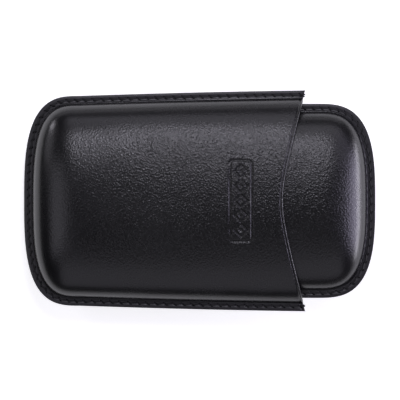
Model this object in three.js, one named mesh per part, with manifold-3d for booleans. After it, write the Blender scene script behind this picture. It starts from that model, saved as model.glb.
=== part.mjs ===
// A hard leather slip case in two telescoping sleeves, in millimetres, +Z up, lying on its back.
// Each sleeve is two moulded dish-shaped panels sewn face to face along a flat flange that runs
// round three sides. The outer sleeve opens towards +X in a scooped mouth; the inner sleeve
// opens towards -X inside it and pulls out along +X.
import * as THREE from 'three';
import { mergeVertices } from 'three/addons/utils/BufferGeometryUtils.js';
import Module from 'manifold-3d';

const wasm = await Module();
wasm.setup();

// Whole case, closed
const CASE_LENGTH = 140.7;
const CASE_WIDTH = 88.7;
const CASE_THICKNESS = 29;

// Plies of one wall, from the outside in, and the glue line left between them
const LEATHER = 0.6;
const BOARD = 0.35;
const LINING = 0.2;
const GLUE_LINE = 0.07;
const WALL = LEATHER + BOARD + LINING + 2 * GLUE_LINE;
const SEAM_GAP = 0.04;
const PLAY = 0.5;

// Sewn flange
const FLANGE = 3.6;
const STITCH_INSET = 2;
const THREAD_RADIUS = 0.3;
const THREAD_SIDES = 3;
const THREAD_STEPS = 64;
const THREAD_END = 1.5;

// Long sides widen towards the outer mouth by a straight taper and a slight bow
const OUTER_MOUTH_X = 42.25;
const TAPER_RUN = 90.25;
const STRAIGHT_TAPER = 1.26;
const BOWED_TAPER = 0.96;

// Rounded closed ends and domes are superellipses, each with its own exponent
const END_FULLNESS = 3;
const DOME_FULLNESS = 2.25;
const OUTER_END_REACH = 22.35;
const INNER_END_REACH = 23.35;
const INNER_MOUTH_X = -53;

// Scooped mouth: a hyperbola whose flanks lean at SCOOP_SLOPE to the width
const SCOOP_DEPTH = 8.95;
const SCOOP_SLOPE = 0.27;
const SCOOP_POINTS = 24;
const CUT_MARGIN = 5;

// Facets: rows from mouth to closed end, and rings from the foot of the dome to its flat crown
const STRAIGHT_ROWS = 4;
const END_ROWS = 9;
const DOME_RINGS = [0.985, 0.93, 0.82, 0.64, 0.42];
const CROWN_RING = 0.2;

const FINISH = {
  leather: new THREE.MeshStandardMaterial({ color: 0x1c1c1e, roughness: 0.4, metalness: 0 }),
  board: new THREE.MeshStandardMaterial({ color: 0x6b5140, roughness: 0.9, metalness: 0 }),
  lining: new THREE.MeshStandardMaterial({ color: 0x2a2a2c, roughness: 0.95, metalness: 0 }),
  thread: new THREE.MeshStandardMaterial({ color: 0x101012, roughness: 0.6, metalness: 0 }),
};

function taper(x) {
  const run = Math.max(0, (OUTER_MOUTH_X - x) / TAPER_RUN);
  return STRAIGHT_TAPER * run + BOWED_TAPER * run * run;
}

// Each sleeve is described with its closed end towards -X; the inner one is then turned about Z.
// overrun carries the sides past the mouth line, so that the scoop can be cut out of them.
const outerSleeve = {
  name: 'outer',
  turn: 0,
  endX: -CASE_LENGTH / 2,
  mouthX: OUTER_MOUTH_X,
  reach: OUTER_END_REACH,
  height: CASE_THICKNESS / 2,
  overrun: CUT_MARGIN / 2,
  halfWidth: (x) => CASE_WIDTH / 2 - taper(x),
};
const innerSleeve = {
  name: 'inner',
  turn: Math.PI,
  endX: -CASE_LENGTH / 2,
  mouthX: -INNER_MOUTH_X,
  reach: INNER_END_REACH,
  height: CASE_THICKNESS / 2 - WALL - PLAY,
  overrun: 0,
  halfWidth: (x) => CASE_WIDTH / 2 - FLANGE - WALL - PLAY - taper(-x),
};

// Half of a sleeve's plan as rows from the mouth to the tip of the closed end. A row holds its
// place along the side and, on the rounded end, how far round the superellipse it stands.
function planRows(sleeve) {
  const cornerX = sleeve.endX + sleeve.reach;
  const startX = sleeve.mouthX + sleeve.overrun;
  const rows = [];
  for (let i = 0; i < STRAIGHT_ROWS; i++) {
    const x = THREE.MathUtils.lerp(startX, cornerX, i / STRAIGHT_ROWS);
    rows.push({ x, half: sleeve.halfWidth(x), along: 0, across: 1 });
  }
  const half = sleeve.halfWidth(cornerX);
  for (let i = 0; i <= END_ROWS; i++) {
    const angle = (Math.PI / 2) * (i / END_ROWS);
    const along = Math.sin(angle) ** (2 / END_FULLNESS);
    const across = i < END_ROWS ? Math.cos(angle) ** (2 / END_FULLNESS) : 0;
    rows.push({ x: cornerX, half, along, across });
  }
  return rows;
}

// The point of a row at an inset from the flange's edge, drawn in towards the middle by ring
function planPoint(sleeve, row, inset, ring, side, z) {
  const x = row.x - (sleeve.reach - inset) * ring * row.along;
  const y = side * (row.half - inset) * ring * row.across;
  return new THREE.Vector3(x, y, z);
}

// Half a cross-section of a ply's face: flange edge, foot of the wall, dome and flat crown.
// depth is how far the face lies under the leather's outside, and level its height in the flange.
function halfSection(sleeve, depth, level, hasFlange) {
  const foot = FLANGE + depth;
  const rise = sleeve.height - depth - level;
  const stations = hasFlange ? [{ inset: 0, ring: 1, z: level }] : [];
  stations.push({ inset: foot, ring: 1, z: level });
  for (const ring of DOME_RINGS) {
    const z = level + rise * (1 - ring ** DOME_FULLNESS) ** (1 / DOME_FULLNESS);
    stations.push({ inset: foot, ring, z });
  }
  stations.push({ inset: foot, ring: CROWN_RING, z: sleeve.height - depth });
  return stations;
}

function sectionLoop(sleeve, row, upper, lower) {
  const point = (side) => (s) => planPoint(sleeve, row, s.inset, s.ring, side, s.z);
  return [
    ...upper.map(point(1)),
    ...upper.toReversed().map(point(-1)),
    ...lower.map(point(-1)),
    ...lower.toReversed().map(point(1)),
  ];
}

// Skin over closed loops, from the first to the last, with the first one closed by a strip
// between its upper and lower halves. The last loop folds flat onto itself and closes there.
function skin(loops) {
  const count = loops[0].length;
  const index = [];
  const quad = (a, b, c, d) => index.push(a, b, c, a, c, d);
  for (let row = 0; row + 1 < loops.length; row++) {
    for (let k = 0; k < count; k++) {
      const next = (k + 1) % count;
      const here = row * count;
      quad(here + k, here + count + k, here + count + next, here + next);
    }
  }
  for (let k = 0; k + 1 < count / 2; k++) {
    quad(k, k + 1, count - 2 - k, count - 1 - k);
  }
  const geometry = new THREE.BufferGeometry().setFromPoints(loops.flat());
  geometry.setIndex(index);
  return geometry;
}

// Position-only geometry with shared corners and no triangle that has shrunk to a line
function welded(geometry) {
  const bare = new THREE.BufferGeometry();
  bare.setAttribute('position', geometry.getAttribute('position'));
  bare.setIndex(geometry.getIndex());
  const merged = mergeVertices(bare, 1e-4);
  const corners = merged.getIndex().array;
  const kept = [];
  for (let i = 0; i < corners.length; i += 3) {
    const [a, b, c] = corners.slice(i, i + 3);
    if (a !== b && b !== c && c !== a) {
      kept.push(a, b, c);
    }
  }
  merged.setIndex(kept);
  return merged;
}

function toManifold(geometry) {
  const vertProperties = new Float32Array(geometry.getAttribute('position').array);
  const triVerts = new Uint32Array(geometry.getIndex().array);
  return new wasm.Manifold(new wasm.Mesh({ numProp: 3, vertProperties, triVerts }));
}

function cutFrom(geometry, cutter) {
  const mesh = toManifold(geometry).subtract(cutter).getMesh();
  const result = new THREE.BufferGeometry();
  result.setAttribute('position', new THREE.BufferAttribute(mesh.vertProperties, mesh.numProp));
  result.setIndex(new THREE.BufferAttribute(mesh.triVerts, 1));
  return result;
}

// How far the mouth line stands back from the mouth's corners at a distance from the middle
function scoopAt(y) {
  const reach = SCOOP_SLOPE * CASE_WIDTH / 2;
  const round = (reach * reach - SCOOP_DEPTH * SCOOP_DEPTH) / (2 * SCOOP_DEPTH);
  return SCOOP_DEPTH + round - Math.hypot(round, SCOOP_SLOPE * y);
}

// Everything beyond the scooped mouth line, right through the sleeve's thickness
function scoopCutter() {
  const halfSpan = CASE_WIDTH / 2 + CUT_MARGIN;
  const outline = [];
  for (let i = 0; i <= SCOOP_POINTS; i++) {
    const y = THREE.MathUtils.lerp(-halfSpan, halfSpan, i / SCOOP_POINTS);
    outline.push(new THREE.Vector2(OUTER_MOUTH_X - scoopAt(y), y));
  }
  outline.push(new THREE.Vector2(OUTER_MOUTH_X + 2 * CUT_MARGIN, halfSpan));
  outline.push(new THREE.Vector2(OUTER_MOUTH_X + 2 * CUT_MARGIN, -halfSpan));
  const block = new THREE.ExtrudeGeometry(new THREE.Shape(outline), {
    depth: CASE_THICKNESS + 2 * CUT_MARGIN,
    bevelEnabled: false,
  });
  block.translate(0, 0, -CASE_THICKNESS / 2 - CUT_MARGIN);
  return toManifold(welded(block));
}

// One ply of one panel, between its upper and lower faces
function ply(sleeve, upper, lower, cutter) {
  const loops = planRows(sleeve).map((row) => sectionLoop(sleeve, row, upper, lower));
  const solid = welded(skin(loops));
  return cutter ? cutFrom(solid, cutter) : solid;
}

const LINING_TOP = SEAM_GAP + LINING;
const LEATHER_FOOT = LINING_TOP + GLUE_LINE;
const FLANGE_TOP = LEATHER_FOOT + LEATHER;
const BOARD_DEPTH = LEATHER + GLUE_LINE;
const LINING_DEPTH = BOARD_DEPTH + BOARD + GLUE_LINE;

function leatherPly(sleeve, cutter) {
  const upper = halfSection(sleeve, 0, FLANGE_TOP, true);
  const lower = halfSection(sleeve, LEATHER, LEATHER_FOOT, true);
  return ply(sleeve, upper, lower, cutter);
}

// The board stops at the foot of the wall, clear of the seam
function boardPly(sleeve, cutter) {
  const upper = halfSection(sleeve, BOARD_DEPTH, LEATHER_FOOT, false);
  const lower = halfSection(sleeve, BOARD_DEPTH + BOARD, LEATHER_FOOT, false);
  return ply(sleeve, upper, lower, cutter);
}

function liningPly(sleeve, cutter) {
  const upper = halfSection(sleeve, LINING_DEPTH, LINING_TOP, true);
  const lower = halfSection(sleeve, WALL, SEAM_GAP, true);
  return ply(sleeve, upper, lower, cutter);
}

// A thread laid along the flange, round three sides, from one mouth corner to the other
function seamThread(sleeve) {
  const z = FLANGE_TOP + THREAD_RADIUS + SEAM_GAP;
  const half = planRows({ ...sleeve, overrun: -THREAD_END });
  const there = half.map((row) => planPoint(sleeve, row, STITCH_INSET, 1, 1, z));
  const back = half.slice(0, -1).toReversed().map((row) => planPoint(sleeve, row, STITCH_INSET, 1, -1, z));
  const path = new THREE.CatmullRomCurve3([...there, ...back]);
  const section = new THREE.Shape().absarc(0, 0, THREAD_RADIUS, 0, 2 * Math.PI);
  return welded(new THREE.ExtrudeGeometry(section, {
    steps: THREAD_STEPS,
    curveSegments: THREAD_SIDES,
    extrudePath: path,
  }));
}

function part(name, geometry, finish) {
  const mesh = new THREE.Mesh(geometry, finish);
  mesh.name = name;
  return mesh;
}

// Front and back of a sleeve are the same pieces, the back ones turned over about X
function sleeveSide(sleeve, side, threadName, cutter) {
  const group = new THREE.Group();
  group.add(part(`${sleeve.name}_${side}_leather`, leatherPly(sleeve, cutter), FINISH.leather));
  group.add(part(`${sleeve.name}_${side}_board`, boardPly(sleeve, cutter), FINISH.board));
  group.add(part(`${sleeve.name}_${side}_lining`, liningPly(sleeve, cutter), FINISH.lining));
  group.add(part(`${sleeve.name}_${threadName}`, seamThread(sleeve), FINISH.thread));
  group.rotation.x = side === 'back' ? Math.PI : 0;
  return group;
}

function wholeSleeve(sleeve, cutter) {
  const group = new THREE.Group();
  group.add(sleeveSide(sleeve, 'front', 'needle_thread', cutter));
  group.add(sleeveSide(sleeve, 'back', 'bobbin_thread', cutter));
  group.rotation.z = sleeve.turn;
  group.position.z = CASE_THICKNESS / 2;
  return group;
}

const slipCase = new THREE.Group();
slipCase.add(wholeSleeve(outerSleeve, scoopCutter()));
slipCase.add(wholeSleeve(innerSleeve, null));

export default slipCase;
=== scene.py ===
"""Leather slip case in two telescoping sleeves: moulded panels, linings, boards and sewn seams."""

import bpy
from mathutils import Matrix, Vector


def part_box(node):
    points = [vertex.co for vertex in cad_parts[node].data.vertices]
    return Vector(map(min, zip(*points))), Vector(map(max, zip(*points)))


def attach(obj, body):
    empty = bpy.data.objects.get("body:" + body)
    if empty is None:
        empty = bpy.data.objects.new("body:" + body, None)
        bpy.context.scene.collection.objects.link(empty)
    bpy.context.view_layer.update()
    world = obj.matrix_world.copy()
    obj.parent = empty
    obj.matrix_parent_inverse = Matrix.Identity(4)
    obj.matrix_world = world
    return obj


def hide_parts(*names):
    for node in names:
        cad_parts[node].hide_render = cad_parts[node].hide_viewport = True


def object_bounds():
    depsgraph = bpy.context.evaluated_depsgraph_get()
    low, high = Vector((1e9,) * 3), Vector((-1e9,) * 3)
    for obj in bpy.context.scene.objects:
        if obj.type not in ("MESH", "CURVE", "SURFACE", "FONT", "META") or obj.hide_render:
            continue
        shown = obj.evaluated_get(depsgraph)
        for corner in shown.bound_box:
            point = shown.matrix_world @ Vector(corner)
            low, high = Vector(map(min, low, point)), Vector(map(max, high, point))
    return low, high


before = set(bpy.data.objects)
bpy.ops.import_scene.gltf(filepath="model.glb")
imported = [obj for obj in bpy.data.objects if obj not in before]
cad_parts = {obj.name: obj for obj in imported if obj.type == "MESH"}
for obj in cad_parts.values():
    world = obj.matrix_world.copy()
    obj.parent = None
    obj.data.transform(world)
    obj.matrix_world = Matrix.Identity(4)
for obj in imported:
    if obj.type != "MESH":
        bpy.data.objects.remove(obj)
CAD_BOX = [list(corner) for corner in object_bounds()]

from collections import namedtuple

import bpy
import numpy as np

bl_info = {
    "name": "Leather slip case",
    "version": (1, 0, 0),
    "blender": (4, 5, 0),
    "location": "View3D > Sidebar > Slip case",
    "description": "Builds the leather, linings, boards and seams of a telescoping slip case",
    "category": "Add Mesh",
}

MM = 0.001
SIDES = {"front": 1, "back": -1}

# Linear colours: darker between the pebbles, and painted shade that stands in for the shadow down a stitch
# hole
PEBBLE_HOLLOW_DARK = (0.002, 0.002, 0.002)
HOLE_PAINTED_SHADE = (0.001, 0.001, 0.001)


def linear(code):
    """Linear colour of an sRGB hex code: c/12.92 near black, ((c + 0.055) / 1.055)^2.4 above."""
    share = np.array([int(code[i:i + 2], 16) for i in (1, 3, 5)]) / 255
    bright = ((share + 0.055) / 1.055) ** 2.4
    return tuple(float(c) for c in np.where(share <= 0.04045, share / 12.92, bright))


# ---------------------------------------------------------------- sizes and colours


def length(name, description, default):
    return bpy.props.FloatProperty(
        name=name, description=description, default=default, min=0, unit="LENGTH", precision=5
    )


def colour(name, description, code):
    return bpy.props.FloatVectorProperty(
        name=name, description=description, default=linear(code), size=3, subtype="COLOR", min=0, max=1
    )


class SlipCaseSizes(bpy.types.PropertyGroup):
    """Sizes of the leatherwork that the frame's boxes don't give."""

    leather: length("Leather", "Thickness of the outer leather", 0.6 * MM)
    board: length("Board", "Thickness of the moulded leatherboard", 0.35 * MM)
    lining: length("Lining", "Thickness of the suede lining", 0.2 * MM)
    glue: length("Glue line", "Gap between two plies", 0.07 * MM)
    seam_gap: length("Seam gap", "Half the gap between the two halves of a flange", 0.04 * MM)
    flange: length("Flange", "Width of the sewn flange", 3.6 * MM)
    fillet: length("Fillet", "Radius of the turn from the flange into the wall", 0.7 * MM)
    outer_reach: length("Outer end", "How far the outer sleeve's rounded end reaches", 22.35 * MM)
    inner_reach: length("Inner end", "How far the inner sleeve's rounded end reaches", 23.35 * MM)
    straight_taper: length("Taper", "Straight part of a side's taper over its run", 1.26 * MM)
    bowed_taper: length("Bow", "Bowed part of a side's taper over its run", 0.96 * MM)
    taper_run: length("Taper run", "Length over which the sides taper", 90.25 * MM)
    scoop_depth: length("Scoop", "How far the mouth is scooped back in the middle", 9.4 * MM)
    hem: length("Hem", "Width of the leather turned in at a mouth", 5.2 * MM)
    crease: length("Crease", "Distance of the creased line from the mouth's edge", 1.2 * MM)
    side_pitch: length("Side stitch", "Stitch length on the long sides", 3.6 * MM)
    end_pitch: length("End stitch", "Stitch length round the closed end", 3.3 * MM)
    stitch_inset: length("Stitch line", "Distance of the stitches from the flange's edge", 2.0 * MM)
    thread: length("Thread", "Diameter of the sewing thread", 0.52 * MM)
    ornament_width: length("Ornament width", "Width of the blind-stamped panel", 8.6 * MM)
    ornament_length: length("Ornament length", "Length of the blind-stamped panel", 32 * MM)
    ornament_back: length("Ornament place", "Its middle's distance from the scoop's bottom", 16.6 * MM)
    fullness: bpy.props.FloatProperty(
        name="Fullness", description="Exponent of the rounded ends' superellipse", default=3, min=2, max=5
    )
    dome_fullness: bpy.props.FloatProperty(
        name="Dome fullness", description="Exponent of the domes' superellipse", default=2.0, min=1.5, max=5
    )
    end_swell: bpy.props.FloatProperty(
        name="End swell", description="How much fuller the outer dome is at its closed end",
        default=0.4, min=0
    )
    scoop_slope: bpy.props.FloatProperty(
        name="Scoop slope", description="Lean of the scoop's flanks to the case's width",
        default=0.27, min=0, max=1
    )


class SlipCaseColours(bpy.types.PropertyGroup):
    """Colours of the finishes."""

    leather: colour("Leather", "Black aniline dye", "#09090b")
    leather_worn: colour("Worn leather", "Where the dye has taken less", "#100f12")
    leather_rubbed: colour("Rubbed leather", "The flange, rubbed by pockets and hands", "#201f22")
    edge_paint: colour("Edge paint", "Painted rims", "#08080a")
    thread: colour("Thread", "Bonded thread", "#0e0e10")
    suede: colour("Suede", "Nap of the lining", "#2b2a2d")
    suede_dark: colour("Suede, stroked", "Nap laid away from the light", "#1b1a1c")
    board: colour("Board", "Leatherboard", "#6b5140")
    board_fleck: colour("Board fleck", "Fibre flecks in the leatherboard", "#3d2c20")
    floor: colour("Floor", "Pale floor", "#f4f4f4")


def sizes():
    return bpy.context.scene.slip_case_sizes


def colours():
    return bpy.context.scene.slip_case_colours


# ---------------------------------------------------------------- plan of a sleeve

Place = namedtuple("Place", "run along across side")
Columns = namedtuple("Columns", "inset angle drop wall")


def superellipse(angle, fullness):
    """u and v of |u|^n + |v|^n = 1 at an angle from v's axis: u = sin^(2/n) and v = cos^(2/n)."""
    return np.sin(angle) ** (2 / fullness), np.abs(np.cos(angle)) ** (2 / fullness)


def quarter(a, b, fullness):
    """Angles of a quarter superellipse that is drawn a by b, and the length of its arc up to each."""
    angle = np.linspace(0, np.pi / 2, 4001)
    u, v = superellipse(angle, fullness)
    steps = np.hypot(np.diff(a * u), np.diff(b * v))
    return angle, np.concatenate([[0], np.cumsum(steps)])


def smooth(low, high, value):
    """0 below low, 1 above high, and 3t^2 - 2t^3 between them."""
    t = np.clip((value - low) / (high - low), 0, 1)
    return t * t * (3 - 2 * t)


def dent(distance, half_width):
    """A rounded groove's share of its depth: exp(-(d/w)^2)."""
    return np.exp(-(distance / half_width) ** 2)


class Sleeve:
    """Plan and section of one sleeve. A phase counts stitches along the flange, from one corner of
    the mouth round the closed end to the other corner."""

    def __init__(self, body):
        size = sizes()
        low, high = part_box(body + "_front_leather")
        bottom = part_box("outer_back_leather")[0].z
        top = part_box("outer_front_leather")[1].z
        self.body = body
        self.middle = (bottom + top) / 2
        self.height = high.z - self.middle
        self.tip = -1 if body == "outer" else 1
        self.end_x = low.x if body == "outer" else high.x
        self.mouth_x = high.x if body == "outer" else low.x
        self.reach = size.outer_reach if body == "outer" else size.inner_reach
        self.corner_x = self.end_x - self.tip * self.reach
        self.taper_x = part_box("outer_front_leather")[1].x
        self.half = high.y
        self.scoop = size.scoop_depth if body == "outer" else 0
        self.swell = size.end_swell if body == "outer" else 0
        side = abs(self.corner_x - self.mouth_x)
        self.side_count = round(side / size.side_pitch)
        end = self.half_width(self.corner_x) - size.stitch_inset
        self.turn = quarter(self.reach - size.stitch_inset, end, size.fullness)
        self.end_count = round(self.turn[1][-1] / size.end_pitch)
        self.half_count = self.side_count + self.end_count
        self.step = side / self.side_count

    def half_width(self, x):
        """Half the width over the flange: the mouth's, less a straight and a squared taper."""
        size = sizes()
        run = np.maximum(0, (self.taper_x - x) / size.taper_run)
        return self.half - size.straight_taper * run - size.bowed_taper * run * run

    def mouth_line(self, y):
        """x of the mouth's edge: a hyperbola, sqrt(r^2 + (s y)^2), that is deepest in the middle."""
        if not self.scoop:
            return self.mouth_x + 0 * y
        slope = sizes().scoop_slope
        reach = slope * self.half
        bottom = (reach * reach - self.scoop * self.scoop) / (2 * self.scoop)
        return self.mouth_x - self.scoop - bottom + np.hypot(bottom, slope * y)

    def place(self, phase):
        """A phase's run along the side, 0 at the mouth and 1 where the end starts to round, and how
        far round the end's superellipse it lies, by arc length. A phase under 0 is past the mouth."""
        phase = np.asarray(phase, float)
        side = np.where(phase <= self.half_count, 1.0, -1.0)
        folded = np.minimum(phase, 2 * self.half_count - phase)
        run = np.minimum(folded / self.side_count, 1)
        share = np.clip((folded - self.side_count) / self.end_count, 0, 1)
        angle, arc = self.turn
        along, across = superellipse(np.interp(share * arc[-1], arc, angle), sizes().fullness)
        return Place(run, along, across, side)

    def plan(self, place, inset, ring):
        """x and y at an inset from the flange's edge. A ring under 1 shrinks the outline towards
        the middle line and the end's centre. Side and mouth line depend on each other, so the
        two are worked out in turn until they agree."""
        x = self.mouth_x + place.run * (self.corner_x - self.mouth_x)
        for _ in range(4):
            y = (self.half_width(x) - inset) * ring
            line = self.mouth_line(y)
            x = line + place.run * (self.corner_x - line)
        x = x + self.tip * (self.reach - inset) * ring * place.along
        return x, place.side * y * place.across

    def dish(self, place, columns, depth, level):
        """A ply's face as rows of points. depth is how far it lies under the leather's outside and
        level its height in the flange: z = level + (height - depth - level) * lift - drop."""
        lift, ring = superellipse(columns.angle, self.fullness(place))
        x, y = self.plan(place, columns.inset + depth * columns.wall, ring)
        z = level + (self.height - depth - level) * lift - columns.drop
        return np.stack(np.broadcast_arrays(x, y, z), axis=-1)

    def fullness(self, place):
        """Exponent of the dome at a place: the outer sleeve's grows towards its closed end."""
        return sizes().dome_fullness + self.swell * smooth(0, 1, place.run)


def stations(sleeve, crown_step, edge_radius, near_crown):
    """Columns of a leather panel from its painted edge to the middle line: a rounded edge, the
    flange, a small fillet at the foot of the wall, and the dome's quarter superellipse."""
    size = sizes()
    fillet = size.fillet
    bend = np.radians([0, 30, 60, 90])
    edge_inset = np.concatenate([[0], edge_radius * (1 - np.cos(bend))])
    edge_drop = np.concatenate([[0], edge_radius * (1 - np.sin(bend))])
    flat = np.linspace(edge_radius + 0.15 * MM, size.flange - fillet, 15)
    turn = np.radians([15, 30, 45, 60, 75, 90])
    foot_inset = size.flange - fillet * (1 - np.sin(turn))
    foot_drop = -fillet * (1 - np.cos(turn))
    rise = sleeve.height - flange_top()
    angle, arc = quarter(rise, sleeve.half - size.flange, size.dome_fullness)
    total = arc[-1]
    # Close columns up the wall, wider ones over the shoulder, and crown_step over the crown
    wall = np.linspace(fillet + 0.2 * MM, 15 * MM, 28)
    shoulder = np.arange(16 * MM, total - near_crown, 1.3 * MM)
    crown = np.linspace(total - near_crown, total, round(near_crown / crown_step) + 1)
    arcs = np.concatenate([wall, shoulder, crown])
    low = len(edge_inset) + len(flat)
    return Columns(
        inset=np.concatenate([edge_inset, flat, foot_inset, np.full(len(arcs), size.flange)]),
        angle=np.concatenate([np.zeros(low + len(turn)), np.interp(arcs, arc, angle)]),
        drop=np.concatenate([edge_drop, np.zeros(len(flat)), foot_drop, np.zeros(len(arcs))]),
        wall=np.concatenate([np.zeros(low), np.ones(len(turn) + len(arcs))]),
    )


def flange_top():
    size = sizes()
    return size.seam_gap + size.lining + size.glue + size.leather


def leather_foot():
    return flange_top() - sizes().leather


def lining_depth():
    size = sizes()
    return size.leather + size.board + 2 * size.glue


def wall_depth():
    return lining_depth() + sizes().lining


# ---------------------------------------------------------------- meshes


def normals_of(points):
    """Unit normals of a grid of points: the cross product of its two central differences."""
    down = np.gradient(points, axis=0)
    over = np.gradient(points, axis=1)
    normal = np.cross(down, over)
    normal[:, -1] = (0, 0, np.sign(normal[:, -2, 2].sum()))
    size = np.linalg.norm(normal, axis=-1, keepdims=True)
    normal = normal / np.maximum(size, 1e-18)
    return normal * np.sign(normal[:, -1:, 2:])


def shell_faces(rows, columns, corner_row):
    """Quads of a closed shell: an outside grid, an inside grid turned over, and strips along the
    edge and the two ends of the mouth. Both halves share the middle line, and every row of the
    rounded end meets in one point on it."""
    outside = np.arange(rows * columns).reshape(rows, columns)
    mirror = np.minimum(np.arange(rows), np.arange(rows)[::-1])
    outside[:, -1] = outside[np.minimum(mirror, corner_row), -1]
    inside = outside + rows * columns
    a, b, c, d = outside[:-1, :-1], outside[1:, :-1], outside[1:, 1:], outside[:-1, 1:]
    under = rows * columns
    strips = [
        np.stack([a, b, c, d], -1).reshape(-1, 4),
        np.stack([a, d, c, b], -1).reshape(-1, 4) + under,
        np.stack([outside[1:, 0], outside[:-1, 0], inside[:-1, 0], inside[1:, 0]], -1),
        np.stack([outside[0, :-1], outside[0, 1:], inside[0, 1:], inside[0, :-1]], -1),
        np.stack([outside[-1, 1:], outside[-1, :-1], inside[-1, :-1], inside[-1, 1:]], -1),
    ]
    return np.concatenate(strips)


def enclosed(points, quads):
    """Volume inside quads, a sixth of the triple products of their two triangles each."""
    p = points[quads]
    first = np.einsum("ij,ij->i", p[:, 0], np.cross(p[:, 1], p[:, 2]))
    second = np.einsum("ij,ij->i", p[:, 0], np.cross(p[:, 2], p[:, 3]))
    return (first.sum() + second.sum()) / 6


def mesh_object(name, points, quads, attributes, material):
    """A smooth mesh of quads, with each quad that has two corners alike made a triangle, corners
    that nothing uses left out, and the faces turned outwards."""
    if enclosed(points, quads) < 0:
        quads = quads[:, ::-1]
    repeat = quads == np.roll(quads, -1, axis=1)
    thin = repeat.any(axis=1)
    triangles = quads[thin][~repeat[thin]].reshape(-1, 3)
    quads = quads[~thin]
    loops = np.concatenate([quads.ravel(), triangles.ravel()])
    used, loops = np.unique(loops, return_inverse=True)
    totals = np.concatenate([np.full(len(quads), 4), np.full(len(triangles), 3)])
    starts = np.concatenate([[0], np.cumsum(totals)[:-1]])
    mesh = bpy.data.meshes.new(name)
    mesh.vertices.add(len(used))
    mesh.vertices.foreach_set("co", points[used].astype(np.float32).ravel())
    mesh.loops.add(len(loops))
    mesh.loops.foreach_set("vertex_index", loops.astype(np.int32))
    mesh.polygons.add(len(totals))
    mesh.polygons.foreach_set("loop_start", starts.astype(np.int32))
    mesh.polygons.foreach_set("loop_total", totals.astype(np.int32))
    mesh.update(calc_edges=True)
    for label, values in attributes.items():
        layer = mesh.attributes.new(label, "FLOAT", "POINT")
        layer.data.foreach_set("value", values[used].astype(np.float32))
    mesh.polygons.foreach_set("use_smooth", np.ones(len(totals), bool))
    mesh.set_sharp_from_angle(angle=np.radians(50))
    mesh.materials.append(material)
    item = bpy.data.objects.new(name, mesh)
    bpy.context.scene.collection.objects.link(item)
    return item


def placed(sleeve, side, points):
    """Points of the front panel in the frame; the back panel is the front turned over about X."""
    sign = SIDES[side]
    return points.reshape(-1, 3) * (1, sign, sign) + (0, 0, sleeve.middle)


def both_halves(half_phases, sleeve):
    """A half's phases and their mirror, in order round the sleeve, with the tip once."""
    return np.concatenate([half_phases, 2 * sleeve.half_count - half_phases[-2::-1]])


def register_piece(item, body, node):
    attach(item, body)
    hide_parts(node)


# ---------------------------------------------------------------- leather panels


def leather_phases(sleeve, stamped):
    """Rows at each quarter stitch, with finer ones at the mouth and across the ornament."""
    regular = np.arange(0, 4 * sleeve.half_count + 1) / 4
    lip = np.array([0.03, 0.08, 0.16, 0.27, 0.4, 0.53, 0.66, 0.78, 0.9, 1.0, 1.1, 1.2, 1.3, 1.4, 1.5,
                    1.65, 1.85, 2.2, 2.7, 3.3])
    hem = np.array([4.6, 5.0, 5.3, 5.7, 6.1])
    extra = np.concatenate([lip, hem]) * MM / sleeve.step
    if stamped:
        size = sizes()
        scale = sleeve.step * (1 - sleeve.scoop / abs(sleeve.corner_x - sleeve.mouth_x))
        reach = size.ornament_width / 2 + 0.8 * MM
        near = (size.ornament_back - reach) / scale
        far = (size.ornament_back + reach) / scale
        extra = np.concatenate([extra, np.arange(near, far, 0.27 * MM / scale)])
    phases = np.union1d(regular, extra)
    apart = np.concatenate([[True], np.diff(phases) > 0.02])
    return phases[apart]


def stamped_depth(sleeve, x, y):
    """How deeply the ornament is pressed, 0 to 1: a rounded frame round a row of lozenges with a
    dot in each. Frame: distance to a rounded rectangle. Lozenge: |x|/a + |y|/a = 1."""
    size = sizes()
    width = size.ornament_width / 2
    tall = size.ornament_length / 2
    across = x - (sleeve.mouth_line(np.zeros(1)) - size.ornament_back)
    line = 0.34 * MM
    corner = 1.6 * MM
    reach_x = np.maximum(np.abs(across) - width + corner, 0)
    reach_y = np.maximum(np.abs(y) - tall + corner, 0)
    inner = np.minimum(np.maximum(np.abs(across) - width, np.abs(y) - tall) + corner, 0)
    rule = np.abs(np.hypot(reach_x, reach_y) + inner - corner)
    pitch = 5.8 * MM
    radius = 2.5 * MM
    nearest = np.clip(np.round(y / pitch), -2, 2) * pitch
    local = y - nearest
    lozenge = np.abs(np.abs(across) + np.abs(local) - radius) / np.sqrt(2)
    dot = np.maximum(np.hypot(across, local) - 0.35 * MM, 0)
    nearest_line = np.minimum(np.minimum(rule, lozenge), dot)
    return 1 - smooth(line * 0.5, line * 1.9, nearest_line)


def hand_waviness(x, y, seed):
    """Slow unevenness of hand-moulded leather: a sum of eight sine waves 14 to 40 mm long."""
    random = np.random.default_rng(seed)
    total = np.zeros(np.broadcast(x, y).shape)
    for _ in range(8):
        heading = random.uniform(0, np.pi)
        wave = 2 * np.pi / random.uniform(14 * MM, 40 * MM)
        start = random.uniform(0, 2 * np.pi)
        total += np.sin(wave * (x * np.cos(heading) + y * np.sin(heading)) + start)
    return total / 8


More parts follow.
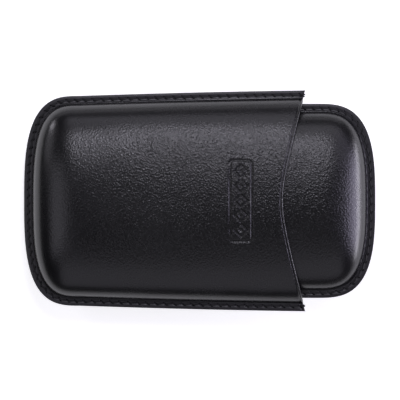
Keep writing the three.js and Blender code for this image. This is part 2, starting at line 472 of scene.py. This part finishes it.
def leather_panel(sleeve, side):
    """One moulded panel. The outside is the dish with grooves, crease, stitch dips and stamping
    moved in along its normals. The inside lies a leather's thickness under it, and goes down to
    the lining at the mouth, where the leather is turned in and fills the board's place."""
    size = sizes()
    stamped = sleeve.body == "outer" and side == "front"
    columns = stations(sleeve, 0.28 * MM if stamped else 2 * MM, 0.22 * MM, 17 * MM)
    half = leather_phases(sleeve, stamped)
    phases = both_halves(half, sleeve)
    place = Place(*(part[:, None] for part in sleeve.place(phases)))
    from_mouth = np.minimum(phases, 2 * sleeve.half_count - phases)[:, None] * sleeve.step
    columns_out = columns._replace(drop=np.array(columns.drop))
    columns_out.drop[0] = flange_top() - 0.01 * MM
    outside = sleeve.dish(place, columns_out, 0, flange_top())
    normal = normals_of(outside)
    x, y = outside[..., 0], outside[..., 1]

    seam = columns.inset - size.stitch_inset
    on_flange = (columns.angle == 0) & (columns.wall == 0)
    hole = hole_phase(sleeve, phases)[:, None]
    from_hole = np.abs(hole - np.round(hole)) * sleeve.step
    dips = 0.2 * MM * dent(from_hole, 0.7 * MM) * dent(seam, 0.4 * MM)
    bedded = 0.08 * MM * dent(seam, 0.6 * MM)
    bevel = 0.14 * MM * (np.clip(1 - columns.inset / (1.4 * MM), 0, 1)) ** 1.5
    from_wall = columns.inset - size.flange + 0.35 * MM
    pinched = 0.15 * MM * smooth(0.1, 0.8, place.run) * dent(from_wall, 0.28 * MM)
    push = -(dips + bedded + bevel) * on_flange - pinched * (columns.angle == 0)
    dome = smooth(0, 0.35, columns.angle)
    push = push + 0.07 * MM * dome * hand_waviness(x, y, 11 + 5 * len(sleeve.body) + SIDES[side])
    crease = -0.24 * MM * dent(from_mouth - size.crease, 0.3 * MM)
    bullnose = 0.75 * MM
    short = np.clip(bullnose - from_mouth, 0, bullnose)
    rounded = bullnose - np.sqrt(bullnose * bullnose - short * short)
    soft_edge = 0.45 * smooth(0, 0.8 * MM, columns.inset)
    soft_edge = soft_edge + 0.55 * smooth(size.flange - 1 * MM, size.flange, columns.inset)
    rounded = rounded * soft_edge
    push = push + crease * smooth(0, 0.6 * MM, columns.inset) - rounded
    if stamped:
        push = push - 0.42 * MM * stamped_depth(sleeve, x, y)
    outside = outside + normal * push[..., None]

    folded = 1 - smooth(size.hem, size.hem + 0.9 * MM, from_mouth)
    turned = lining_depth() - size.leather - 0.02 * MM
    depth = size.leather + turned * folded - rounded
    level = leather_foot() * (1 - folded) + 0.01 * MM * folded
    tucked = 0.35 * MM
    columns_in = columns._replace(
        inset=np.where(columns.wall > 0, columns.inset, np.maximum(columns.inset, tucked)),
        drop=np.where(columns.wall > 0, columns.drop, 0),
    )
    columns_in.drop[0] = 0
    inside = sleeve.dish(place, columns_in, depth, level)
    inside[:, 0, 2] = 0.01 * MM

    grid = outside.shape[:2]
    lift, _ = superellipse(columns.angle, size.dome_fullness)
    # Grain is stretched flat on the walls, and rubbed flat where the outer sleeve is held
    tooth = 0.2 + 0.8 * smooth(0.5, 0.97, lift)
    if sleeve.body == "outer":
        tooth = tooth * (0.35 + 0.65 * smooth(-70 * MM, -5 * MM, x))
    painted_rim = 1 - smooth(0.02 * MM, 0.14 * MM, columns.inset)
    painted_lip = 1 - smooth(0.1 * MM, 0.35 * MM, from_mouth)
    paint = np.maximum(painted_rim, painted_lip)
    corner_row = int(np.searchsorted(half, sleeve.side_count - 1e-9))
    attributes = {
        "tooth": np.broadcast_to(tooth, grid),
        "paint": np.broadcast_to(paint, grid),
        "stitch": np.broadcast_to(hole * handed(sleeve, side), grid),
        "seam": np.broadcast_to(np.where(on_flange, seam / MM, 9), grid),
    }
    doubled = {label: np.tile(values.ravel(), 2) for label, values in attributes.items()}
    points = np.concatenate([placed(sleeve, side, outside), placed(sleeve, side, inside)])
    quads = shell_faces(*grid, corner_row)
    name = f"{sleeve.body}_{side}_leather"
    item = mesh_object(name + "_panel", points, quads, doubled, moulded_cowhide())
    register_piece(item, sleeve.body, name)


# ---------------------------------------------------------------- boards and linings


def plain_ply(sleeve, side, label, outer, inner, start, material):
    """A board or lining between two faces. Each face is (depth, level, where its flange starts).
    A start of the whole flange leaves the flange out."""
    size = sizes()
    rise = sleeve.height - flange_top()
    angle, arc = quarter(rise, sleeve.half - size.flange, size.dome_fullness)
    close = np.linspace(0.4 * MM, 15 * MM, 16)
    wide = np.linspace(17 * MM, arc[-1], 14)
    arcs = np.concatenate([close, wide])
    flange = np.linspace(outer[2], size.flange, 5)
    wall = np.concatenate([np.zeros(5), np.ones(len(arcs))])
    if outer[2] >= size.flange:
        flange = np.array([size.flange])
        wall = np.ones(1 + len(arcs))
    columns = Columns(
        inset=np.concatenate([flange, np.full(len(arcs), size.flange)]),
        angle=np.concatenate([np.zeros(len(flange)), np.interp(arcs, arc, angle)]),
        drop=np.zeros(len(wall)),
        wall=np.where(np.arange(len(wall)) == len(flange) - 1, 1, wall),
    )
    half = np.arange(start / sleeve.step, sleeve.side_count, 1)
    half = np.concatenate([half, np.linspace(sleeve.side_count, sleeve.half_count, 3 * sleeve.end_count)])
    phases = both_halves(half, sleeve)
    place = Place(*(part[:, None] for part in sleeve.place(phases)))
    outside = sleeve.dish(place, columns, outer[0], outer[1])
    inside = sleeve.dish(place, columns, inner[0], inner[1])
    points = np.concatenate([placed(sleeve, side, outside), placed(sleeve, side, inside)])
    corner_row = int(np.searchsorted(half, sleeve.side_count - 1e-9))
    quads = shell_faces(*outside.shape[:2], corner_row)
    name = f"{sleeve.body}_{side}_{label}"
    item = mesh_object(name + "_ply", points, quads, {}, material)
    register_piece(item, sleeve.body, name)


def board_ply(sleeve, side):
    """A board, from the foot of the wall over the dome, that starts behind the mouth's hem."""
    size = sizes()
    foot = leather_foot()
    upper = (size.leather + size.glue, foot, size.flange)
    lower = (size.leather + size.glue + size.board, foot, size.flange)
    start = size.hem + 1.4 * MM
    plain_ply(sleeve, side, "board", upper, lower, start, moulded_leatherboard())


def lining_ply(sleeve, side):
    """A lining, from the flange over the dome, whose mouth end just laps the turned-in hem."""
    size = sizes()
    tucked = 0.5 * MM
    upper = (lining_depth(), size.seam_gap + size.lining, tucked)
    lower = (wall_depth(), size.seam_gap, tucked)
    plain_ply(sleeve, side, "lining", upper, lower, size.hem - 0.2 * MM, suede_split())


# ---------------------------------------------------------------- seams


FIRST_HOLE = 0.4


def handed(sleeve, side):
    """1 where a stitch's slant and its phase turn the same way round the case, and -1 if not."""
    return SIDES[side] if sleeve.body == "inner" else -SIDES[side]


def hole_phase(sleeve, phase):
    """Phases counted so that every stitch hole is a whole number, with the first one 0."""
    count = 2 * sleeve.half_count
    return (phase - FIRST_HOLE) * (count - 1) / (count - 2 * FIRST_HOLE)


def seam_point(sleeve, holes, sideways, height):
    """Points over the flange at hole counts, sideways from the stitch line, at a height."""
    count = 2 * sleeve.half_count
    phase = holes * (count - 2 * FIRST_HOLE) / (count - 1) + FIRST_HOLE
    x, y = sleeve.plan(sleeve.place(phase), sizes().stitch_inset + sideways, 1)
    return np.stack([x, y, height], axis=-1)


def twisted_tube(path, radius, sides=10, twist=1.3 * MM):
    """A tube of two-ply thread along a path: round it, the radius is r(1 + 0.14 cos 2(a - t)),
    where t turns once for each twist length. Returns points and quads, with pinched ends."""
    heading = np.gradient(path, axis=0)
    step = np.linalg.norm(heading, axis=1, keepdims=True)
    heading = heading / step
    across = np.cross(heading, (0, 0, 1))
    across = across / np.maximum(np.linalg.norm(across, axis=1, keepdims=True), 1e-9)
    up = np.cross(across, heading)
    angle = np.linspace(0, 2 * np.pi, sides, endpoint=False)
    turn = np.cumsum(step)[:, None] * 2 * np.pi / twist
    size = radius * (1 + 0.14 * np.cos(2 * (angle - turn)))
    size[[0, -1]] = 0
    rings = path[:, None] + size[..., None] * (
        np.cos(angle)[:, None] * across[:, None] + np.sin(angle)[:, None] * up[:, None]
    )
    count = len(path)
    index = np.arange(count * sides).reshape(count, sides)
    index[0] = index[0, 0]
    index[-1] = index[-1, 0]
    after = np.roll(index, -1, axis=1)
    quads = np.stack([index[:-1], index[1:], after[1:], after[:-1]], -1).reshape(-1, 4)
    return rings.reshape(-1, 3), quads


def stitch_run(sleeve, first, last, slant, lane):
    """Thread from hole first to hole last: it dives into each hole, lies over the leather between
    two, at height 1 - |2f - 1|^3, and crosses the stitch line on a slant."""
    size = sizes()
    radius = size.thread / 2
    share = np.array([0, 0.07, 0.14, 0.22, 0.34, 0.5, 0.66, 0.78, 0.86, 0.93])
    stitches = np.arange(first, last)[:, None]
    holes = np.append((stitches + share).ravel(), last)
    part = np.append(np.tile(share, len(stitches)), 1)
    over = 1 - np.abs(2 * part - 1) ** 3
    deep = flange_top() - 0.45 * MM
    height = deep + (0.4 * MM + 0.2 * radius) * over
    return seam_point(sleeve, holes, lane + slant * (1 - 2 * part), height)


def corner_wrap(sleeve, lane):
    """Thread from the middle of the flange's thickness round the mouth's edge and over to the
    first hole, as hole counts before it."""
    radius = sizes().thread / 2
    edge = -FIRST_HOLE
    past = radius / sleeve.step
    holes = edge + np.array([-0.7, -1.0, -1.05, -0.85, -0.2, 1.6, 3.0]) * past
    top = flange_top()
    height = np.array([0.02 * MM, 0.25 * top, 0.6 * top, top + 0.2 * radius, top + 0.75 * radius,
                       top + 0.7 * radius, top + 0.3 * radius])
    return seam_point(sleeve, holes, np.full(len(holes), lane), height)


def seam_thread(sleeve, side, thread):
    """One thread of a lockstitch seam: the long run, with its two ends wrapped over the mouth's
    corners, and a back-tack of two stitches laid beside it at each end."""
    size = sizes()
    radius = size.thread / 2
    slant = 0.2 * MM * handed(sleeve, side)
    count = 2 * sleeve.half_count
    main = np.concatenate([corner_wrap(sleeve, slant), stitch_run(sleeve, 0, count - 1, slant, 0)])
    wrap = corner_wrap(sleeve, -slant)
    mirrored = (wrap * (1, -1, 1))[::-1]
    main = np.concatenate([main, mirrored])
    tack = stitch_run(sleeve, 0, 2, -slant, 0.1 * MM)
    tack = np.concatenate([corner_wrap(sleeve, 0.55 * MM), tack])
    pieces = [main, tack, tack * (1, -1, 1)]
    points, quads, total = [], [], 0
    for path in pieces:
        tube, faces = twisted_tube(path, radius)
        if enclosed(tube, faces) < 0:
            faces = faces[:, ::-1]
        points.append(tube)
        quads.append(faces + total)
        total += len(tube)
    points = placed(sleeve, side, np.concatenate(points))
    name = f"{sleeve.body}_{thread}"
    item = mesh_object(name + "_stitches", points, np.concatenate(quads), {}, bonded_thread())
    register_piece(item, sleeve.body, name)


# ---------------------------------------------------------------- finishes


def add_node(tree, kind, inputs=None, **settings):
    """Adds a node with its settings. inputs maps a socket's name or number to a value or a link."""
    node = tree.nodes.new(kind)
    for label, value in settings.items():
        setattr(node, label, value)
    for socket, value in (inputs or {}).items():
        if isinstance(value, bpy.types.NodeSocket):
            tree.links.new(value, node.inputs[socket])
        else:
            node.inputs[socket].default_value = value
    return node


def finish(name):
    """An empty node material, or the one of that name if it is there already, and its tree."""
    known = bpy.data.materials.get(name)
    if known:
        return known, None
    material = bpy.data.materials.new(name)
    material.use_nodes = True
    material.node_tree.nodes.clear()
    return material, material.node_tree


def rgba(value):
    return (*value, 1.0)


def moulded_cowhide():
    """Wet-moulded cowhide, aniline dyed black and dressed with wax: a pebble grain about 0.7 mm across that
    is flattened where the leather is stretched over the walls, a soft semi-gloss, a dye that takes unevenly
    and is rubbed greyer on the flange, painted edges, and pricked holes with painted shade in their slits."""
    material, tree = finish("moulded_cowhide")
    if tree is None:
        return material
    shade = colours()
    where = add_node(tree, "ShaderNodeTexCoord").outputs["Object"]
    tooth = add_node(tree, "ShaderNodeAttribute", attribute_name="tooth").outputs["Fac"]
    paint = add_node(tree, "ShaderNodeAttribute", attribute_name="paint").outputs["Fac"]
    stitch = add_node(tree, "ShaderNodeAttribute", attribute_name="stitch").outputs["Fac"]
    seam = add_node(tree, "ShaderNodeAttribute", attribute_name="seam").outputs["Fac"]

    # Pebbles: cells whose borders are bent by a finer noise. They are drawn coarser than such
    # a grain mostly is, so that they still show when the whole case is in sight
    bend = add_node(tree, "ShaderNodeTexNoise", {"Vector": where, "Scale": 900.0, "Detail": 2.0})
    bent = add_node(tree, "ShaderNodeVectorMath", {0: bend.outputs["Color"], 1: (0.5, 0.5, 0.5)},
                    operation="SUBTRACT")
    bent = add_node(tree, "ShaderNodeVectorMath", {0: bent.outputs[0], "Scale": 0.7 * MM},
                    operation="SCALE")
    warped = add_node(tree, "ShaderNodeVectorMath", {0: where, 1: bent.outputs[0]}).outputs[0]
    pebble = add_node(tree, "ShaderNodeTexVoronoi", {"Vector": warped, "Scale": 1400.0, "Smoothness": 0.3},
                      feature="SMOOTH_F1")
    crumb = add_node(tree, "ShaderNodeTexNoise", {"Vector": where, "Scale": 2100.0, "Detail": 2.0})
    patch = add_node(tree, "ShaderNodeTexNoise", {"Vector": where, "Scale": 90.0, "Detail": 2.0})
    relief = add_node(tree, "ShaderNodeMath", {0: pebble.outputs["Distance"], 1: -0.85, 2: 0.5},
                      operation="MULTIPLY_ADD")
    relief = add_node(tree, "ShaderNodeMath", {0: crumb.outputs[0], 1: 0.3, 2: relief.outputs[0]},
                      operation="MULTIPLY_ADD")
    relief = add_node(tree, "ShaderNodeMath", {0: relief.outputs[0], 1: tooth}, operation="MULTIPLY")
    # Hollows between the pebbles: darker colour and slightly rougher gloss
    crease = add_node(tree, "ShaderNodeMapRange", {0: pebble.outputs["Distance"], 1: 0.25, 2: 0.6})
    crease = add_node(tree, "ShaderNodeMath", {0: crease.outputs[0], 1: tooth}, operation="MULTIPLY")

    # Pricked holes: a slit on a slant at every whole stitch, with its place along the seam. The bump
    # presses the slit in, and the slit is also painted dark, with less specular, as painted shade
    whole = add_node(tree, "ShaderNodeMath", {0: stitch, 1: 0.5}, operation="ADD")
    along = add_node(tree, "ShaderNodeMath", {0: whole.outputs[0]}, operation="FRACT")
    along = add_node(tree, "ShaderNodeMath", {0: along.outputs[0], 1: 0.5}, operation="SUBTRACT")
    along = add_node(tree, "ShaderNodeMath", {0: along.outputs[0], 1: sizes().side_pitch / MM},
                     operation="MULTIPLY")
    lean = add_node(tree, "ShaderNodeMath", {0: along.outputs[0], 1: -0.6, 2: seam},
                    operation="MULTIPLY_ADD")
    slim = add_node(tree, "ShaderNodeMath", {0: lean.outputs[0], 1: 2.5}, operation="MULTIPLY")
    slim = add_node(tree, "ShaderNodeMath", {0: slim.outputs[0], 1: 2.0}, operation="POWER")
    long = add_node(tree, "ShaderNodeMath", {0: along.outputs[0], 1: 1.0}, operation="MULTIPLY")
    long = add_node(tree, "ShaderNodeMath", {0: long.outputs[0], 1: 2.0}, operation="POWER")
    round_hole = add_node(tree, "ShaderNodeMath", {0: slim.outputs[0], 1: long.outputs[0]}, operation="ADD")
    # Slit mask: it drives the bump, and the painted shade in colour and specular
    hole = add_node(tree, "ShaderNodeMapRange", {0: round_hole.outputs[0], 1: 0.6, 2: 1.3, 3: 1.0, 4: 0.0},
                    interpolation_type="SMOOTHSTEP")
    relief = add_node(tree, "ShaderNodeMath", {0: hole.outputs[0], 1: -2.2, 2: relief.outputs[0]},
                      operation="MULTIPLY_ADD")
    bump = add_node(tree, "ShaderNodeBump", {
        "Strength": 1.0, "Distance": 0.15 * MM, "Height": relief.outputs[0]})

    # Colour: dye, rubbed on the flange, darker between the pebbles and on the painted edges, and painted
    # shade in the holes
    flat = add_node(tree, "ShaderNodeMath", {0: seam, 1: 5.0}, operation="LESS_THAN")
    dye = add_node(tree, "ShaderNodeMix", {
        0: patch.outputs[0], 6: rgba(shade.leather), 7: rgba(shade.leather_worn)}, data_type="RGBA")
    layers = (
        (flat.outputs[0], shade.leather_rubbed),
        (crease.outputs[0], PEBBLE_HOLLOW_DARK),
        (paint, shade.edge_paint),
        (hole.outputs[0], HOLE_PAINTED_SHADE),
    )
    for amount, tone in layers:
        dye = add_node(tree, "ShaderNodeMix", {0: amount, 6: dye.outputs[2], 7: rgba(tone)},
                       data_type="RGBA")
    gloss = add_node(tree, "ShaderNodeMapRange", {0: patch.outputs[0], 1: 0.3, 2: 0.7, 3: 0.24, 4: 0.27})
    gloss = add_node(tree, "ShaderNodeMath", {0: crease.outputs[0], 1: 0.08, 2: gloss.outputs[0]},
                     operation="MULTIPLY_ADD")
    gloss = add_node(tree, "ShaderNodeMath", {0: flat.outputs[0], 1: 0.14, 2: gloss.outputs[0]},
                     operation="MULTIPLY_ADD")
    gloss = add_node(tree, "ShaderNodeMath", {0: hole.outputs[0], 1: 0.4, 2: gloss.outputs[0]},
                     operation="MULTIPLY_ADD")
    # Specular turned down in the slits: painted shade
    hole_painted_shade_specular = add_node(tree, "ShaderNodeMapRange", {0: hole.outputs[0], 3: 0.5, 4: 0.05})
    skin = add_node(tree, "ShaderNodeBsdfPrincipled", {
        "Base Color": dye.outputs[2],
        "Roughness": gloss.outputs[0],
        "IOR": 1.5,
        "Specular IOR Level": hole_painted_shade_specular.outputs[0],
        "Normal": bump.outputs[0],
    })
    add_node(tree, "ShaderNodeOutputMaterial", {"Surface": skin.outputs[0]})
    return material


def suede_split():
    """Suede split, brushed: a matt nap with a soft sheen, stroked lighter and darker in patches."""
    material, tree = finish("suede_split")
    if tree is None:
        return material
    shade = colours()
    where = add_node(tree, "ShaderNodeTexCoord").outputs["Object"]
    stroke = add_node(tree, "ShaderNodeTexNoise", {"Vector": where, "Scale": 120.0, "Detail": 3.0})
    nap = add_node(tree, "ShaderNodeTexNoise", {"Vector": where, "Scale": 3500.0, "Detail": 3.0})
    tone = add_node(tree, "ShaderNodeMix", {
        0: stroke.outputs[0], 6: rgba(shade.suede_dark), 7: rgba(shade.suede)}, data_type="RGBA")
    bump = add_node(tree, "ShaderNodeBump", {
        "Strength": 0.6, "Distance": 0.12 * MM, "Height": nap.outputs[0]})
    skin = add_node(tree, "ShaderNodeBsdfPrincipled", {
        "Base Color": tone.outputs[2],
        "Roughness": 0.95,
        "Sheen Weight": 0.35,
        "Sheen Roughness": 0.5,
        "Normal": bump.outputs[0],
    })
    add_node(tree, "ShaderNodeOutputMaterial", {"Surface": skin.outputs[0]})
    return material


def moulded_leatherboard():
    """Moulded leatherboard: ground leather pressed with a binder, matt brown with dark flecks."""
    material, tree = finish("moulded_leatherboard")
    if tree is None:
        return material
    shade = colours()
    where = add_node(tree, "ShaderNodeTexCoord").outputs["Object"]
    fibre = add_node(tree, "ShaderNodeTexNoise", {"Vector": where, "Scale": 1400.0, "Detail": 4.0})
    fleck = add_node(tree, "ShaderNodeMapRange", {0: fibre.outputs[0], 1: 0.45, 2: 0.7})
    tone = add_node(tree, "ShaderNodeMix", {
        0: fleck.outputs[0], 6: rgba(shade.board), 7: rgba(shade.board_fleck)}, data_type="RGBA")
    bump = add_node(tree, "ShaderNodeBump", {
        "Strength": 0.4, "Distance": 0.1 * MM, "Height": fibre.outputs[0]})
    skin = add_node(tree, "ShaderNodeBsdfPrincipled", {
        "Base Color": tone.outputs[2], "Roughness": 0.85, "Normal": bump.outputs[0]})
    add_node(tree, "ShaderNodeOutputMaterial", {"Surface": skin.outputs[0]})
    return material


def bonded_thread():
    """Bonded polyester thread, two plies twisted: black, matt and finely fibrous."""
    material, tree = finish("bonded_thread")
    if tree is None:
        return material
    shade = colours()
    where = add_node(tree, "ShaderNodeTexCoord").outputs["Object"]
    fibre = add_node(tree, "ShaderNodeTexNoise", {"Vector": where, "Scale": 6000.0, "Detail": 2.0})
    tone = add_node(tree, "ShaderNodeMix", {
        0: fibre.outputs[0], 6: rgba(shade.thread), 7: rgba(shade.leather_worn)}, data_type="RGBA")
    bump = add_node(tree, "ShaderNodeBump", {
        "Strength": 0.4, "Distance": 0.05 * MM, "Height": fibre.outputs[0]})
    skin = add_node(tree, "ShaderNodeBsdfPrincipled", {
        "Base Color": tone.outputs[2], "Roughness": 0.65, "Normal": bump.outputs[0]})
    add_node(tree, "ShaderNodeOutputMaterial", {"Surface": skin.outputs[0]})
    return material


# ---------------------------------------------------------------- stage


def pale_floor():
    """Matt white card, lit so evenly that it shows next to no shadow."""
    material, tree = finish("white_card")
    if tree is None:
        return material
    card = add_node(tree, "ShaderNodeBsdfPrincipled", {
        "Base Color": rgba(colours().floor),
        "Roughness": 0.9,
        "Emission Color": (1, 1, 1, 1),
        "Emission Strength": 0.66,
    })
    add_node(tree, "ShaderNodeOutputMaterial", {"Surface": card.outputs[0]})
    return material


# Each softbox: name, tint, watts, width and height in metres, azimuth and elevation in degrees
SOFTBOXES = (
    ("key_softbox", "#f4f1ff", 0.96, (0.16, 0.18), 86, 61),
    ("high_softbox", "#f4f1ff", 0.1, (0.08, 0.07), 76, 71),
    ("far_softbox", "#f4f1ff", 0.36, (0.5, 0.15), 80, 37),
    ("far_reflector", "#f7f4ff", 0.3, (0.8, 0.12), 90, 9),
    ("right_softbox", "#e6deff", 1.5, (0.35, 0.32), 0, 22),
    ("right_reflector", "#f7f4ff", 1.6, (0.5, 0.1), 0, 6),
    ("corner_softbox", "#ece6ff", 0.26, (0.25, 0.3), 38, 44),
    ("left_softbox", "#f4f1ff", 0.4, (0.34, 0.34), 188, 56),
    ("left_reflector", "#f7f4ff", 0.24, (0.3, 0.25), 154, 26),
    ("window", "#f7f4ff", 0.3, (0.1, 0.1), 138, 18),
    ("near_softbox", "#f4f1ff", 0.66, (0.7, 0.46), 276, 44),
)
SOFTBOX_DISTANCE = 0.6


def softbox(name, tint, power, size, azimuth, elevation, target):
    """An area light at an azimuth and elevation round the target, facing it."""
    light = bpy.data.lights.new(name, "AREA")
    light.shape = "RECTANGLE"
    light.size, light.size_y = size
    light.energy = power
    light.color = linear(tint)
    item = bpy.data.objects.new(name, light)
    turn, up = np.radians(azimuth), np.radians(elevation)
    away = np.array([np.cos(up) * np.cos(turn), np.cos(up) * np.sin(turn), np.sin(up)])
    item.location = np.array(target) + SOFTBOX_DISTANCE * away
    item.rotation_euler = (np.pi / 2 - up, 0, turn + np.pi / 2)
    bpy.context.scene.collection.objects.link(item)
    return item


# ---------------------------------------------------------------- operators


class SLIPCASE_OT_panels(bpy.types.Operator):
    """Build the four moulded leather panels"""

    bl_idname = "slipcase.panels"
    bl_label = "Leather panels"

    def execute(self, context):
        for body in ("outer", "inner"):
            sleeve = Sleeve(body)
            for side in SIDES:
                leather_panel(sleeve, side)
        return {"FINISHED"}


class SLIPCASE_OT_boards(bpy.types.Operator):
    """Build the four moulded boards between leather and lining"""

    bl_idname = "slipcase.boards"
    bl_label = "Boards"

    def execute(self, context):
        for body in ("outer", "inner"):
            sleeve = Sleeve(body)
            for side in SIDES:
                board_ply(sleeve, side)
        return {"FINISHED"}


class SLIPCASE_OT_linings(bpy.types.Operator):
    """Build the four suede linings"""

    bl_idname = "slipcase.linings"
    bl_label = "Linings"

    def execute(self, context):
        for body in ("outer", "inner"):
            sleeve = Sleeve(body)
            for side in SIDES:
                lining_ply(sleeve, side)
        return {"FINISHED"}


class SLIPCASE_OT_seams(bpy.types.Operator):
    """Sew the two sleeves with needle and bobbin threads"""

    bl_idname = "slipcase.seams"
    bl_label = "Seams"

    def execute(self, context):
        for body in ("outer", "inner"):
            sleeve = Sleeve(body)
            seam_thread(sleeve, "front", "needle_thread")
            seam_thread(sleeve, "back", "bobbin_thread")
        return {"FINISHED"}


class SLIPCASE_OT_stage(bpy.types.Operator):
    """Lay the case on a pale floor under soft light, with a camera straight above it"""

    bl_idname = "slipcase.stage"
    bl_label = "Stage"

    def execute(self, context):
        scene = context.scene
        low, high = (np.array(corner) for corner in CAD_BOX)
        centre = (low + high) / 2
        reach = 3.0
        square = ((-reach, -reach), (reach, -reach), (reach, reach), (-reach, reach))
        corners = [(x, y, low[2]) for x, y in square]
        mesh = bpy.data.meshes.new("floor")
        mesh.from_pydata(corners, [], [(0, 1, 2, 3)])
        mesh.materials.append(pale_floor())
        floor = bpy.data.objects.new("floor", mesh)
        scene.collection.objects.link(floor)

        world = bpy.data.worlds.new("studio")
        world.use_nodes = True
        world.node_tree.nodes["Background"].inputs["Color"].default_value = (*linear("#fafaff"), 1)
        world.node_tree.nodes["Background"].inputs["Strength"].default_value = 0.035
        scene.world = world
        for light in SOFTBOXES:
            softbox(*light, centre)

        camera = bpy.data.cameras.new("overhead_camera")
        margin = 1.1373
        view_width = (high[0] - low[0]) * margin
        camera_z = 0.9
        camera.sensor_width = 36
        camera.lens = camera.sensor_width * (camera_z - centre[2]) / view_width
        item = bpy.data.objects.new("overhead_camera", camera)
        item.location = (centre[0] + 0.14 * MM, centre[1] + 0.34 * MM, camera_z)
        scene.collection.objects.link(item)
        scene.camera = item
        scene.view_settings.view_transform = "Standard"
        return {"FINISHED"}


class SLIPCASE_PT_panel(bpy.types.Panel):
    """Sizes, colours and steps of the slip case"""

    bl_idname = "SLIPCASE_PT_panel"
    bl_label = "Slip case"
    bl_space_type = "VIEW_3D"
    bl_region_type = "UI"
    bl_category = "Slip case"

    def draw(self, context):
        for group in (context.scene.slip_case_sizes, context.scene.slip_case_colours):
            for label in group.bl_rna.properties.keys():
                if label not in ("rna_type", "name"):
                    self.layout.prop(group, label)
        for step in STEPS:
            self.layout.operator(step.bl_idname)


STEPS = (SLIPCASE_OT_stage, SLIPCASE_OT_panels, SLIPCASE_OT_boards, SLIPCASE_OT_linings, SLIPCASE_OT_seams)
CLASSES = (SlipCaseSizes, SlipCaseColours, *STEPS, SLIPCASE_PT_panel)


def register():
    for item in CLASSES:
        bpy.utils.register_class(item)
    bpy.types.Scene.slip_case_sizes = bpy.props.PointerProperty(type=SlipCaseSizes)
    bpy.types.Scene.slip_case_colours = bpy.props.PointerProperty(type=SlipCaseColours)


def unregister():
    del bpy.types.Scene.slip_case_colours
    del bpy.types.Scene.slip_case_sizes
    for item in reversed(CLASSES):
        bpy.utils.unregister_class(item)


def main():
    register()
    bpy.ops.slipcase.stage()
    bpy.ops.slipcase.panels()
    bpy.ops.slipcase.boards()
    bpy.ops.slipcase.linings()
    bpy.ops.slipcase.seams()
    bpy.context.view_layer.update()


if __name__ == "__main__":
    main()
